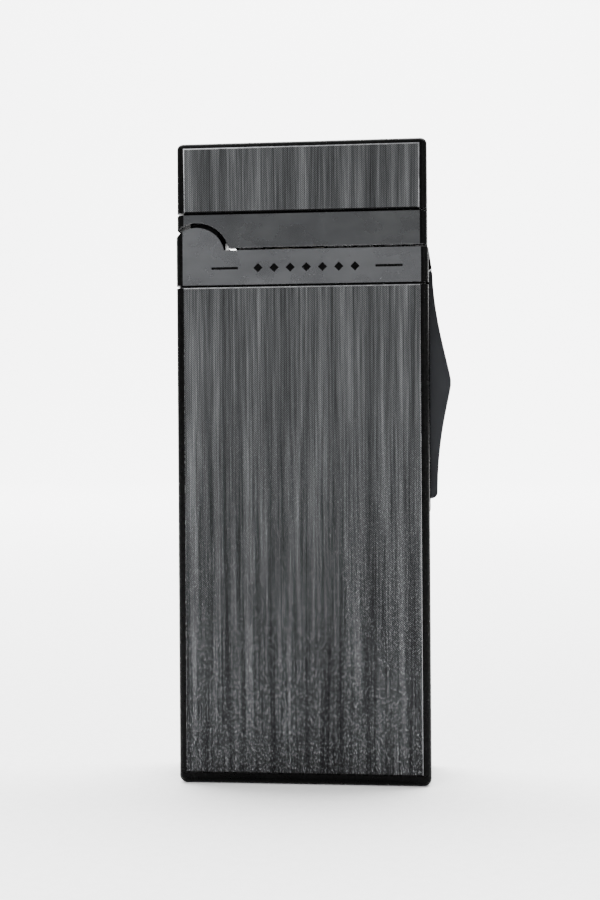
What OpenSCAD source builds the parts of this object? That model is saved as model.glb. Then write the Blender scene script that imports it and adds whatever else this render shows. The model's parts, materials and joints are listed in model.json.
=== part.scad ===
// Side-lever pocket gas lighter with a hinged lid.
// X runs across the face, Y from the front face to the back, Z up.
// The origin is the middle of the flat underside.

/* [Case] */
// Width of the body across its face
body_w = 27.4; // [25:0.1:32]
// Thickness of the body from front to back
body_d = 10.5; // [10.5:0.1:13]
// Height from the underside to the collar's lower line
case_h = 54.1; // [54:0.1:66]
// Wall of the drawn body shell
shell_wall = 0.7; // [0.5:0.05:0.8]
// Rounding of the long edges, seen from above
edge_r = 0.8; // [0.75:0.05:1.4]
// Height of the base cap's visible band
base_h = 1.2; // [1:0.1:1.8]
// Rounding of the base cap's lower edges
base_corner_r = 1.1; // [0.6:0.1:1.2]
// Rounding of the lid's top edges
lid_corner_r = 0.6; // [0.4:0.05:1]

/* [Collar and lid] */
// Height of the plain collar band
collar_h = 3.75; // [3.6:0.05:5]
// Height of the groove between the collar and the body shell
seam_h = 0.25; // [0.15:0.05:0.4]
// Wall of the collar and of the lid frame's band
band_wall = 1; // [0.8:0.05:1.1]
// Open gap between the collar and the lid
lid_gap = 0.3; // [0.2:0.05:0.4]
// Height of the lid frame's plain band
lid_band_h = 3.6; // [3.2:0.1:5]
// Height of the groove between the band and the brushed cap
groove_h = 0.25; // [0.15:0.05:0.4]
// Height of the brushed lid cap
cap_h = 7.6; // [6.5:0.05:10]
// Wall of the lid cap
cap_wall = 0.7; // [0.5:0.05:0.8]
// How much narrower the lid is than the body, on each side
lid_inset = 0.1; // [0.05:0.05:0.2]

/* [Hinge] */
// Radius of the collar's hinge ears
ear_r = 3.1; // [2.8:0.1:3.2]
// Gap between an ear and the lid's cut-out
ear_gap = 0.55; // [0.4:0.05:0.7]
// Hinge axis below the collar's top line
hinge_drop = 0.6; // [0.6:0.05:0.9]
// Radius of the lid's knuckle, which touches the left side plane
knuckle_r = 2.3; // [2.2:0.05:2.4]
// Radius of the hinge pin
hinge_pin_r = 0.6; // [0.5:0.05:0.65]
// Radius of the crank pin in the lid's arms
crank_pin_r = 0.5; // [0.4:0.05:0.5]
// Angle that the lid opens through
lid_swing = 80; // [70:1:85]

/* [Side lever] */
// Thickness of the lever, front to back
lever_d = 5.6; // [4.6:0.1:5.8]
// Angle that the lever swings through
lever_swing = 9; // [8:0.5:9.5]
// How far the hump stands out of the body's side
hump = 2.35; // [2:0.05:3]
// How far the black bezel's rails stand out of the body's side
bezel_proud = 0.08; // [0.05:0.01:0.15]
// How far the bezel's ramp above the lever stands out of the body's side
ramp_proud = 0.35; // [0.2:0.05:0.5]
// Radius of the lever's pivot pin
lever_pin_r = 0.6; // [0.5:0.05:0.65]
// Radius of the nose that lifts the carriage
nose_r = 1; // [0.9:0.05:1.1]

/* [Burner and gas] */
// Place of the burner and valve axis across the face
burner_x = -2.2; // [-2.5:0.1:-1.9]
// Radius of the burner's mixing tube
burner_r = 2.1; // [1.9:0.05:2.2]
// Radius of the flame nozzle
nozzle_r = 2.5; // [2.2:0.05:2.6]
// Wall of the fuel tank
tank_wall = 0.8; // [0.6:0.05:1]
// Height of the fuel tank's top face
tank_top = 27.8; // [26.8:0.1:27.8]
// Place of the filler valve across the face
filler_x = 5.5; // [5:0.5:8]
// Radius of the filler's bore, which takes the refill nozzle
filler_bore_r = 0.9; // [0.8:0.05:0.95]
// Travel of the carriage over the whole swing
carriage_lift = 3.2; // [2.8:0.1:3.2]

/* [Hidden] */

// Clearances shared by the pieces
run = 0.05;    // radial, pin in a moving bore
snug = 0.01;   // radial, pin in a fixed bore
slide = 0.1;   // between guided faces
far = 40;      // longer than any cut needs
$fn = 48;

// Heights
collar_top = case_h + collar_h;
band_z = collar_top + lid_gap;
band_top = band_z + lid_band_h;
cap_z = band_top + groove_h;
lid_top = cap_z + cap_h;

// Inside of the body shell
room_w = body_w - 2 * shell_wall;
room_d = body_d - 2 * shell_wall;
fit_y = room_d / 2 - slide;
fit_x = room_w / 2 - slide;
lid_w = body_w - 2 * lid_inset;
lid_d = body_d - 2 * lid_inset;
side_x = body_w / 2;

// Hinge
hinge_x = knuckle_r - side_x;
hinge_z = collar_top - hinge_drop;
ear_t = 0.95;
ear_in = body_d / 2 - ear_t;
seam_in = 0.35;
arm_out = ear_in - slide;
arm_in = 1.4;
pin_half = body_d / 2 - 0.4;
crank_r = carriage_lift / 2 / sin(lid_swing / 2);
crank_x = hinge_x + crank_r * cos(lid_swing / 2);
crank_z = hinge_z - crank_r * sin(lid_swing / 2);
lobe_r = crank_pin_r + 0.4;

// Side lever, measured from the top of the case
lever_top = case_h + 1.3;
lever_low = lever_top - 24.6;
pivot_x = side_x - 1.6;
pivot_z = case_h - 0.4;
boss_r = lever_pin_r + 0.65;
slot_y = lever_d / 2 + 0.15;
slot_low = lever_low - 0.4;
slot_top = lever_top + 0.3;
bezel_rim = 0.65;
bezel_y = slot_y + bezel_rim;
bezel_low = slot_low - 1.1;
bezel_top = collar_top;
bezel_in = side_x - shell_wall - 0.55;
skin_x = side_x - shell_wall - 0.1;

// Nose path and the wedge on the carriage that it lifts
nose_dx = -2;
nose_dz = lever_low + 0.9 - pivot_z;
nose_x = pivot_x + nose_dx;
nose_z = pivot_z + nose_dz;
nose_end_dx = nose_dx * cos(lever_swing) + nose_dz * sin(lever_swing);
nose_end_dz = nose_dz * cos(lever_swing) - nose_dx * sin(lever_swing);
wedge_slope = (carriage_lift - (nose_end_dz - nose_dz)) / (nose_dx - nose_end_dx);
wedge_angle = atan(wedge_slope);
wedge_gap = 0.05;
wedge_x = nose_x - sin(wedge_angle) * (nose_r + wedge_gap);
wedge_z = nose_z + cos(wedge_angle) * (nose_r + wedge_gap);

// Carriage plate and foot
plate_in = room_d / 2 - 1.25;
plate_out = room_d / 2 - 0.45;
foot_z = nose_z + nose_r + 0.3;
foot_top = foot_z + 1.1;
foot_right = nose_x - 0.7;
foot_left = 1.5;
yoke_y = arm_in - 0.5;
yoke_play = 0.12;
stem_top = crank_z - crank_pin_r - yoke_play;

// Piezo unit
piezo_x = 6.3;
piezo_w = 6.2;
piezo_half_d = 3;
piezo_low = foot_top + carriage_lift + 0.3;
piezo_top = case_h - 1.4;
cavity_top = piezo_top - 5.6;
plunger_low = foot_top + 0.03;
plunger_top = cavity_top - carriage_lift - 0.3;
crystal_r = 1.5;
piezo_spring_r = 1.2;
spring_seat = plunger_top - 6.5;

// Gas lever
tip_arm = 6.3;
pad_arm = 2;
tip_r = 0.5;
pad_r = 0.45;
gas_half = asin(carriage_lift / 2 / tip_arm);
gas_x = burner_x - pad_arm * cos(gas_half);
gas_z = foot_top + 0.03 + tip_r + tip_arm * sin(gas_half);
gas_pin_r = 0.5;
rail_in = 0.75;
rail_out = 1.4;
stem_lift = 2 * pad_arm * sin(gas_half);

// Outlet valve and burner stack
stem_r = 0.6;
flange_z = gas_z - pad_arm * sin(gas_half) + pad_r + 0.03;
flange_r = 1.15;
stem_low = tank_top - 1.3;
outlet_r = 1.8;
outlet_head_z = tank_top + 0.4;
outlet_head_top = foot_z + 0.3;
hose_low = flange_z + 0.7 + stem_lift + 0.4;
stem_high = hose_low + 1.1;
barb_low = stem_high + stem_lift + 0.5;
hose_top = barb_low + 1.9;
socket_z = hose_top + 1.2;
orifice_top = socket_z + 1.8;
burner_top = case_h - 1;
shelf_z = burner_top - 2.8;
deck_z = collar_top - 1.4;
deck_t = 1;
deck_top = deck_z + deck_t;
nozzle_top = collar_top + 1.4;

// Fuel tank and what passes through its closure
tank_x = fit_x - 0.1;
tank_y = fit_y - 0.1;
closure_z = 2.5;
tank_z = 3.6;
seat_r = 1.55;
filler_top = 8.8;
piston_z = 5.2;
piston_h = 0.8;
bush_r = 1.9;
bush_top = 8.3;
adjuster_r = 0.9;
ledge_x = 3.7;
screw_r = 0.55;
screw_x = [burner_x - ledge_x, piezo_x + 2.2];

// ---- shared shapes ----

// Rectangle with rounded corners, centred
module rounded(w, h, r) {
    square([w - 2 * r, h], center = true);
    square([w, h - 2 * r], center = true);
    for (x = [-1, 1], y = [-1, 1])
        translate([x * (w / 2 - r), y * (h / 2 - r)]) circle(r);
}

// Upright block with rounded vertical edges, from z0 to z1
module block(w, d, r, z0, z1) {
    translate([0, 0, z0]) linear_extrude(z1 - z0) rounded(w, d, r);
}

// Box given by its two corners
module box(low, high) {
    translate(low) cube(high - low);
}

// Round bar along Y through (x, z), from y0 to y1
module bar_y(x, z, r, y0, y1) {
    translate([x, y1, z]) rotate([90, 0, 0]) cylinder(r = r, h = y1 - y0);
}

// Round bar along Z at x, from z0 to z1
module post(x, r, z0, z1) {
    translate([x, 0, z0]) cylinder(r = r, h = z1 - z0);
}

// Round washer or tube along Z
module ring(x, r_in, r_out, z0, z1) {
    difference() {
        post(x, r_out, z0, z1);
        post(x, r_in, z0 - 1, z1 + 1);
    }
}

// XZ outline given thickness along Y from y0 to y1
module slab(y0, y1) {
    translate([0, y1, 0]) rotate([90, 0, 0]) linear_extrude(y1 - y0) children();
}

// Coil spring of closed rings joined by short risers, drawn as one helix of spheres' outline
module spring(x, r, wire, z0, z1, turns) {
    sides = 10;
    steps = 14;
    n = turns * steps;
    rise = (z1 - z0 - 2 * wire) / n;
    pts = [for (i = [0 : n], j = [0 : sides - 1])
        let (a = i * 360 / steps, b = j * 360 / sides, q = r + wire * cos(b))
        [x + q * cos(a), q * sin(a), z0 + wire + i * rise + wire * sin(b)]];
    walls = [for (i = [0 : n - 1], j = [0 : sides - 1])
        let (k = (j + 1) % sides)
        [i * sides + j, (i + 1) * sides + j, (i + 1) * sides + k, i * sides + k]];
    first = [for (j = [0 : sides - 1]) j];
    last = [for (j = [sides - 1 : -1 : 0]) n * sides + j];
    polyhedron(points = pts, faces = concat(walls, [first], [last]), convexity = 8);
}

// Point on a cubic curve
function bezier(a, b, c, d, t) =
    pow(1 - t, 3) * a + 3 * t * pow(1 - t, 2) * b + 3 * t * t * (1 - t) * c + pow(t, 3) * d;

// Keeps the part of a lid wall that clears the hinge ears
module ear_clearance(out) {
    for (s = [-1, 1])
        bar_y(hinge_x, hinge_z, ear_r + ear_gap,
            s > 0 ? arm_out : -out, s > 0 ? out : -arm_out);
}

// ---- case ----

module body_shell() {
    color("dimgray")
    difference() {
        block(body_w, body_d, edge_r, base_h, case_h - seam_h);
        block(room_w, room_d, edge_r - shell_wall, base_h - 1, case_h + 1);
        box([side_x - 2, -bezel_y - run, bezel_low - run], [side_x + 1, bezel_y + run, case_h + 1]);
    }
}

module base_cap() {
    color("black")
    difference() {
        union() {
            intersection() {
                block(body_w, body_d, edge_r, 0, base_h);
                slab(-far, far) translate([0, far / 2]) rounded(body_w, far, base_corner_r);
                rotate([0, 0, 90]) slab(-far, far) translate([0, far / 2])
                    rounded(body_d, far, base_corner_r);
            }
            block(room_w - 2 * run, room_d - 2 * run, edge_r - shell_wall, base_h, closure_z - slide);
        }
        post(filler_x, 2.3, -1, closure_z);
        post(burner_x, 1.6, -1, closure_z);
        post(burner_x, bush_r + slide, 1.7, closure_z);
    }
}

module collar() {
    color("gray")
    difference() {
        union() {
            block(body_w, body_d, edge_r, case_h, collar_top);
            block(room_w - 2 * run, room_d - 2 * run, edge_r - shell_wall, case_h - 1.6, case_h);
            block(body_w - 2 * seam_in, body_d - 2 * seam_in, edge_r - seam_in, case_h - seam_h, case_h);
            intersection() {
                for (s = [-1, 1]) bar_y(hinge_x, hinge_z, ear_r,
                    s > 0 ? ear_in : -body_d / 2, s > 0 ? body_d / 2 : -ear_in);
                block(body_w, body_d, edge_r, case_h, collar_top + ear_r);
            }
        }
        block(body_w - 2 * band_wall, 2 * ear_in, 0.5, case_h - 2, collar_top + far);
        box([-side_x - 1, -ear_in, hinge_z - knuckle_r - 0.15], [hinge_x, ear_in, collar_top + far]);
        box([side_x - 3, -bezel_y - run, case_h - 2], [side_x + 1, bezel_y + run, collar_top + 1]);
        bar_y(hinge_x, hinge_z, hinge_pin_r + snug, -pin_half - snug, pin_half + snug);
        engraving();
    }
}

// Two plain lines with a row of small lozenges between them, on the collar's front
module engraving() {
    depth = 0.15;
    y = -body_d / 2;
    z = case_h + collar_h * 0.48;
    line_l = 2.9;
    line_x = 8.9;
    for (s = [-1, 1]) translate([s * line_x + 0.6, y, z]) cube([line_l, 2 * depth, 0.28], center = true);
    for (i = [-3 : 3]) translate([i * 1.75 + 0.6, y + depth, z]) rotate([90, 0, 0])
        cylinder(r = 0.55, h = 2 * depth, $fn = 4);
}

module lever_bezel() {
    color("black")
    difference() {
        union() {
            slab(-bezel_y, bezel_y) polygon([
                [bezel_in, bezel_low], [side_x, bezel_low], [side_x + bezel_proud, bezel_low + 0.4],
                [side_x + bezel_proud, slot_top - 0.2], [side_x + ramp_proud, slot_top],
                [side_x + 0.02, bezel_top], [bezel_in, bezel_top]]);
            box([bezel_in, -room_d / 2 + 0.6, bezel_low - 0.8],
                [side_x - shell_wall - run, room_d / 2 - 0.6, case_h - 1.7]);
            for (s = [-1, 1]) bar_y(pivot_x, pivot_z, boss_r,
                s > 0 ? slot_y : -bezel_y, s > 0 ? bezel_y : -slot_y);
        }
        box([bezel_in - 1, -slot_y, slot_low], [side_x + 1, slot_y, slot_top]);
        bar_y(pivot_x, pivot_z, lever_pin_r + snug, -bezel_y - 1, bezel_y + 1);
    }
}

// ---- inner frame ----

module chassis() {
    front = -fit_y;
    front_in = front + 0.85;
    low = tank_top + 0.2;
    high = case_h - 1.8;
    window_low = low + 3;
    color("darkslategray")
    difference() {
        intersection() {
            union() {
                box([-fit_x - 1, front - 1, low - 1], [bezel_in - slide, front_in, high]);
                box([-fit_x - 1, front - 1, low - 1], [2.6, fit_y + 1, low + 1]);
                box([-fit_x - 1, front - 1, low - 1], [-fit_x + 1.1, fit_y + 1, high]);
                bar_y(gas_x, gas_z, gas_pin_r + 0.7, front, -rail_out - slide);
                box([burner_x - 4.9, front, shelf_z], [burner_x + 4.4, plate_in - 0.2, shelf_z + 1.2]);
            }
            block(2 * fit_x, 2 * fit_y, edge_r - shell_wall, low, high);
        }
        box([-fit_x + 2, front - 1, window_low], [gas_x - 2.2, front_in + 1, shelf_z - 2]);
        post(burner_x, 2.9, low - 1, low + 2);
        post(burner_x, burner_r + run, shelf_z - 1, shelf_z + 2);
        bar_y(gas_x, gas_z, gas_pin_r + snug, front + 0.2, 0);
    }
}

// Holder that locates the spark unit and carries the deck's screws
module piezo_cradle() {
    wall = 0.8;
    x0 = piezo_x - piezo_w / 2 - slide - wall;
    x1 = piezo_x + piezo_w / 2 + 0.6;
    y0 = -fit_y + 0.86;
    y1 = plate_in - 0.2;
    roof_z = piezo_top + 0.1;
    roof_top = case_h - 0.1;
    foot_x = burner_x - ledge_x - 1.3;
    color("darkslategray")
    difference() {
        union() {
            box([x0, y0, piezo_low + 1.5], [x0 + wall, y1, roof_top]);
            box([x1 - 0.5, y0, piezo_low + 4], [x1, y1, roof_top]);
            box([foot_x, y0, roof_z], [x1, y1, roof_top]);
            for (x = screw_x) post(x, 1.05, roof_z, deck_z);
        }
        post(burner_x, burner_r + 0.6, roof_z - 1, roof_top + 1);
        post(piezo_x, 0.6, roof_z - 1, roof_top + 1);
        for (x = screw_x) post(x, screw_r + snug, deck_z - 2.5, deck_z + 1);
    }
}

module burner_deck() {
    color("silver")
    difference() {
        box([hinge_x + ear_r + 0.9, -ear_in + slide, deck_z], [bezel_in - slide, ear_in - slide, deck_top]);
        post(burner_x, nozzle_r + 0.2, deck_z - 1, deck_top + 1);
        post(burner_x + ledge_x, 0.8, deck_z - 1, deck_top + 1);
        for (x = screw_x) post(x, screw_r + run, deck_z - 1, deck_top + 1);
    }
}

module deck_screws() {
    color("silver")
    for (x = screw_x) difference() {
        union() {
            post(x, 0.95, deck_top, deck_top + 0.5);
            post(x, screw_r, deck_z - 2.3, deck_top);
        }
        box([x - 0.7, -0.14, deck_top + 0.25], [x + 0.7, 0.14, deck_top + 1]);
        box([x - 0.14, -0.7, deck_top + 0.25], [x + 0.14, 0.7, deck_top + 1]);
    }
}

// ---- fuel tank and valves ----

module fuel_tank() {
    color("gainsboro", 0.5)
    difference() {
        block(2 * tank_x, 2 * tank_y, 0.6, tank_z, tank_top);
        difference() {
            block(2 * (tank_x - tank_wall), 2 * (tank_y - tank_wall), 0.3, tank_z - 1, tank_top - 1);
            post(burner_x, outlet_r + 1.1, tank_top - 4, tank_top);
        }
        post(burner_x, outlet_r + snug, tank_top - 5, tank_top + 1);
    }
}

module tank_closure() {
    lip = tank_wall + run;
    color("gainsboro")
    difference() {
        union() {
            block(2 * tank_x, 2 * tank_y, 0.6, closure_z, tank_z);
            difference() {
                block(2 * (tank_x - lip), 2 * (tank_y - lip), 0.3, tank_z, tank_z + 1.4);
                block(2 * (tank_x - lip - 0.7), 2 * (tank_y - lip - 0.7), 0.3, tank_z, tank_z + 2);
            }
        }
        post(filler_x, seat_r + snug, closure_z - 1, tank_z + 2);
        post(burner_x, bush_r + snug, closure_z - 1, tank_z + 2);
    }
}

module filler_body() {
    color("goldenrod")
    difference() {
        union() {
            post(filler_x, seat_r, 0.5, filler_top);
            post(filler_x, 2.15, 1.5, closure_z - 0.2);
        }
        post(filler_x, filler_bore_r, 0, 2.8);
        post(filler_x, 0.6, 2, filler_top + 1);
        post(filler_x, 1.05, piston_z - 0.6, filler_top - 0.5);
    }
}

module filler_gasket() {
    color("black") ring(filler_x, seat_r + snug, 2.15, closure_z - 0.2, closure_z);
}

module filler_spring() {
    color("silver") spring(filler_x, 0.78, 0.14, piston_z + piston_h, filler_top - 0.5, 4);
}

module filler_seal() {
    color("black") ring(filler_x, 0.55, 1.02, piston_z - 0.58, piston_z - 0.03);
}

module filler_stem() {
    color("goldenrod") {
        post(filler_x, 0.45, 2.9, piston_z + 1.8);
        post(filler_x, 0.95, piston_z, piston_z + piston_h);
    }
}

module adjuster_bush() {
    color("goldenrod")
    difference() {
        union() {
            post(burner_x, bush_r, 1.9, bush_top);
            post(burner_x, 0.75, bush_top, bush_top + 2.4);
        }
        post(burner_x, 0.35, 0, bush_top + 3);
        post(burner_x, adjuster_r + run, 0, 6.5);
        post(burner_x, 1.42, 6.4, bush_top - 0.5);
    }
}

module metering_disc() {
    color("white") post(burner_x, 1.4, 6.55, bush_top - 0.6);
}

module adjuster_screw() {
    color("goldenrod")
    difference() {
        union() {
            post(burner_x, 1.4, 0.5, 1.6);
            post(burner_x, adjuster_r, 1.6, 6.3);
        }
        box([burner_x - 2, -0.2, 0], [burner_x + 2, 0.2, 1]);
    }
}

module dip_tube() {
    color("whitesmoke") ring(burner_x, 0.76, 1.15, bush_top + 0.1, tank_top - 4.3);
}

module outlet_body() {
    color("goldenrod")
    difference() {
        union() {
            post(burner_x, outlet_r, tank_top - 3.8, outlet_head_z);
            post(burner_x, 0.75, tank_top - 5.6, tank_top - 3.8);
            post(burner_x, 2.5, outlet_head_z, outlet_head_top - 2);
            post(burner_x, 1.5, outlet_head_top - 2, outlet_head_top);
        }
        post(burner_x, 0.35, 0, tank_top);
        post(burner_x, stem_r + run, tank_top - 2, far);
        post(burner_x, 1.35, stem_low - 0.4, outlet_head_z + 1.6);
    }
}

module outlet_gasket() {
    color("black") ring(burner_x, outlet_r + snug, 2.5, tank_top, outlet_head_z);
}

module outlet_spring() {
    color("silver") spring(burner_x, 1, 0.16, stem_low + 0.8, outlet_head_z + 1.6, 4);
}

module outlet_stem() {
    color("goldenrod")
    difference() {
        union() {
            post(burner_x, stem_r, stem_low, stem_high);
            post(burner_x, 1.25, stem_low, stem_low + 0.8);
            post(burner_x, flange_r, flange_z, flange_z + 0.7);
        }
        post(burner_x, 0.25, outlet_head_z, stem_high + 1);
    }
}

// ---- burner and spark ----

module gas_hose() {
    color("lightgray") ring(burner_x, 0.76, 1.3, hose_low, hose_top);
}

module jet_orifice() {
    color("goldenrod")
    difference() {
        union() {
            post(burner_x, 0.75, barb_low, hose_top);
            post(burner_x, 1.6, hose_top, orifice_top);
        }
        post(burner_x, 0.3, barb_low - 1, orifice_top + 1);
    }
}

module burner_tube() {
    color("silver")
    difference() {
        post(burner_x, burner_r, socket_z, burner_top);
        post(burner_x, 1.6 + snug, socket_z - 1, orifice_top + 0.05);
        post(burner_x, 1, socket_z, burner_top + 1);
        post(burner_x, 1.6, burner_top - 2, burner_top + 1);
        for (a = [45 : 90 : 315]) translate([burner_x, 0, orifice_top + 0.9]) rotate([90, 0, a])
            cylinder(r = 0.5, h = burner_r + 1);
    }
}

module flame_nozzle() {
    color("silver")
    difference() {
        union() {
            post(burner_x, 1.58, burner_top - 1.6, burner_top);
            post(burner_x, nozzle_r, burner_top, nozzle_top - 0.9);
            post(burner_x, nozzle_r - 0.25, nozzle_top - 0.9, nozzle_top);
        }
        post(burner_x, 1, 0, nozzle_top - 1.6);
        post(burner_x, 1.75, nozzle_top - 0.8, nozzle_top + 1);
        for (a = [0 : 60 : 300]) translate([burner_x, 0, 0]) rotate([0, 0, a])
            post(1.2, 0.22, nozzle_top - 2.4, nozzle_top);
        post(burner_x, 0.5, 0, nozzle_top);
    }
}

module burner_gauze() {
    color("dimgray") post(burner_x, 1.72, nozzle_top - 0.75, nozzle_top - 0.55);
}

module spark_electrode() {
    x = burner_x + ledge_x;
    z = nozzle_top + 1.2;
    color("silver") {
        post(x, 0.28, case_h + 1.36, z);
        translate([x, 0, z]) sphere(0.28);
        translate([burner_x + 2.7, 0, z]) rotate([0, 90, 0]) cylinder(r = 0.28, h = ledge_x - 2.7);
    }
}

module spark_insulator() {
    color("ivory") ring(burner_x + ledge_x, 0.3, 0.75, case_h + 1.7, nozzle_top);
}

module ignition_wire() {
    x = burner_x + ledge_x;
    z = case_h + 1;
    r = 0.35;
    color("darkred") {
        post(piezo_x, r, piezo_top + 0.02, z);
        translate([piezo_x, 0, z]) sphere(r);
        translate([x, 0, z]) rotate([0, 90, 0]) cylinder(r = r, h = piezo_x - x);
        translate([x, 0, z]) sphere(r);
        post(x, r, z, case_h + 1.35);
    }
}

module piezo_case() {
    x0 = piezo_x - piezo_w / 2;
    color("darkslategray")
    difference() {
        box([x0, -piezo_half_d, piezo_low], [x0 + piezo_w, piezo_half_d, piezo_top]);
        box([x0 + 0.5, -piezo_half_d + 0.5, piezo_low - 1],
            [x0 + piezo_w - 0.5, piezo_half_d - 0.5, cavity_top]);
        post(piezo_x, crystal_r + run, cavity_top - 1, piezo_top - 1);
        post(piezo_x, 0.4, cavity_top, piezo_top + 1);
    }
}

module piezo_crystal() {
    color("white") post(piezo_x, crystal_r, cavity_top + 0.1, piezo_top - 1.1);
}

module piezo_spring() {
    color("silver") spring(piezo_x, piezo_spring_r, 0.22, spring_seat, cavity_top, 6);
}

module piezo_plunger() {
    x0 = piezo_x - piezo_w / 2 + 0.6;
    x1 = piezo_x + piezo_w / 2 - 0.6;
    color("black")
    difference() {
        box([x0, -piezo_half_d + 0.6, plunger_low], [x1, piezo_half_d - 0.6, plunger_top]);
        post(piezo_x, piezo_spring_r + 0.4, spring_seat, plunger_top + 1);
    }
}

module piezo_hammer() {
    color("silver") post(piezo_x, 0.8, spring_seat, spring_seat + 4);
}

// ---- pins ----

module hinge_pin() {
    color("silver") bar_y(hinge_x, hinge_z, hinge_pin_r, -pin_half, pin_half);
}

module lever_pin() {
    color("silver") bar_y(pivot_x, pivot_z, lever_pin_r, -bezel_y + 0.05, bezel_y - 0.05);
}

module gas_lever_pin() {
    color("silver") bar_y(gas_x, gas_z, gas_pin_r, -fit_y + 0.25, rail_out + 0.4);
}

module crank_pin() {
    color("silver") bar_y(crank_x, crank_z, crank_pin_r, -arm_in - 1.2, arm_in + 1.2);
}

// ---- lid ----

module lid_cap() {
    color("dimgray")
    difference() {
        intersection() {
            block(lid_w, lid_d, edge_r, cap_z, lid_top);
            slab(-far, far) translate([0, lid_top - far / 2]) rounded(lid_w, far, lid_corner_r);
            rotate([0, 0, 90]) slab(-far, far) translate([0, lid_top - far / 2])
                rounded(lid_d, far, lid_corner_r);
        }
        block(lid_w - 2 * cap_wall, lid_d - 2 * cap_wall, edge_r - cap_wall, cap_z - 1, lid_top - cap_wall);
    }
}

module lid_frame() {
    inner = cap_wall + run;
    spigot_top = cap_z + 3.2;
    color("gray")
    difference() {
        union() {
            difference() {
                union() {
                    block(lid_w, lid_d, edge_r, band_z, band_top);
                    block(lid_w - 2 * inner, lid_d - 2 * inner, edge_r - cap_wall, band_top, spigot_top);
                }
                block(lid_w - 2 * band_wall - 0.6, 2 * (ear_in - 0.2), 0.5, band_z - 1, far * 2);
                ear_clearance(body_d);
            }
            for (s = [-1, 1]) hinge_arm(s);
            difference() {
                union() {
                    bar_y(hinge_x, hinge_z, knuckle_r - lid_inset, -arm_out, arm_out);
                    box([lid_inset - side_x, -arm_out, hinge_z], [lid_inset - side_x + 0.9, arm_out, band_z + 1]);
                }
                bar_y(hinge_x, hinge_z, knuckle_r - 0.9, -far, far);
                box([hinge_x - 0.6, -far, 0], [far, far, hinge_z + far]);
                box([-far, -far, 0], [far, far, hinge_z - 1]);
            }
        }
        bar_y(hinge_x, hinge_z, hinge_pin_r + run, -far, far);
        bar_y(crank_x, crank_z, crank_pin_r + snug, -arm_in - 1.25, arm_in + 1.25);
    }
}

// One arm of the lid: knuckle, crank lobe and the web that joins them to the band
module hinge_arm(s) {
    y0 = s > 0 ? arm_in : -arm_out;
    y1 = s > 0 ? arm_out : -arm_in;
    bar_y(hinge_x, hinge_z, knuckle_r - lid_inset, y0, y1);
    bar_y(crank_x, crank_z, lobe_r, y0, y1);
    box([lid_inset - side_x, y0, hinge_z], [hinge_x + knuckle_r - lid_inset, y1, band_top]);
}

// ---- moving linkage ----

// Outline of the lever's outer face, from its top end down to its free end
function lever_face() =
    let (top_x = side_x + ramp_proud + 0.05, low_x = side_x + 0.85, peak = side_x + hump,
        peak_top = lever_top - 11.7, peak_low = lever_top - 12.3, curve_end = lever_low + 0.9)
    concat(
        [for (i = [0 : 10]) bezier([top_x, lever_top], [top_x + 0.15, lever_top - 5],
            [peak - 0.43, lever_top - 9.3], [peak, peak_top], i / 10)],
        [for (i = [0 : 10]) bezier([peak, peak_low], [peak - 0.25, peak_low - 1.8],
            [low_x + 0.06, peak_low - 5.5], [low_x, curve_end], i / 10)],
        [for (a = [0 : 15 : 90]) [low_x - 0.7 + 0.7 * cos(a), lever_low + 0.7 - 0.7 * sin(a)]]);

module side_lever() {
    half = lever_d / 2;
    fork_in = 1.5;
    color("gray")
    difference() {
        union() {
            slab(-half, half) polygon(concat(lever_face(), [[skin_x, lever_low], [skin_x, lever_top]]));
            bar_y(pivot_x, pivot_z, boss_r, -half, half);
            box([pivot_x, -half, pivot_z - boss_r], [skin_x + 0.1, half, pivot_z + boss_r]);
            box([nose_x, -fork_in, nose_z - nose_r], [skin_x + 0.1, fork_in, nose_z + 0.2]);
            bar_y(nose_x, nose_z, nose_r, -fork_in, fork_in);
        }
        bar_y(pivot_x, pivot_z, lever_pin_r + run, -far, far);
        box([skin_x - 1, -half + 0.9, lever_top - 16], [side_x + hump - 1.3, half - 0.9, lever_top - 8.6]);
    }
}

module carriage() {
    plate_top = case_h - 4.2;
    yoke_x0 = crank_x - crank_pin_r - yoke_play - 0.42;
    yoke_x1 = hinge_x + crank_r + crank_pin_r + yoke_play + 0.5;
    bar_x0 = yoke_x0 + 0.6;
    bridge_z = case_h - 8;
    color("lightslategray")
    difference() {
        union() {
            box([bar_x0, plate_in, foot_z], [foot_right, plate_out, foot_z + 6]);
            box([bar_x0, plate_in, foot_z], [yoke_x1, plate_out, plate_top]);
            box([foot_right - 2.4, plate_in, foot_z], [foot_right, plate_out, plate_top]);
            box([foot_left, -2.6, foot_z], [foot_right, plate_in + 0.1, foot_top]);
            slab(-1.3, 1.3) polygon([
                [wedge_x - 4.5, wedge_z - 4.5 * wedge_slope],
                [foot_right, wedge_z + (foot_right - wedge_x) * wedge_slope],
                [foot_right, foot_top], [wedge_x - 4.5, foot_top]]);
            box([bar_x0, -yoke_y, bridge_z], [yoke_x1, plate_in + 0.1, bridge_z + 2]);
            box([bar_x0, -yoke_y, bridge_z], [yoke_x1, yoke_y, stem_top]);
            box([yoke_x0, -yoke_y, stem_top - 0.5], [yoke_x1, yoke_y, crank_z + crank_pin_r + yoke_play + 0.48]);
        }
        box([crank_x - crank_pin_r - yoke_play, -far, stem_top],
            [yoke_x1 - 0.5, far, crank_z + crank_pin_r + yoke_play]);
    }
}

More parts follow.
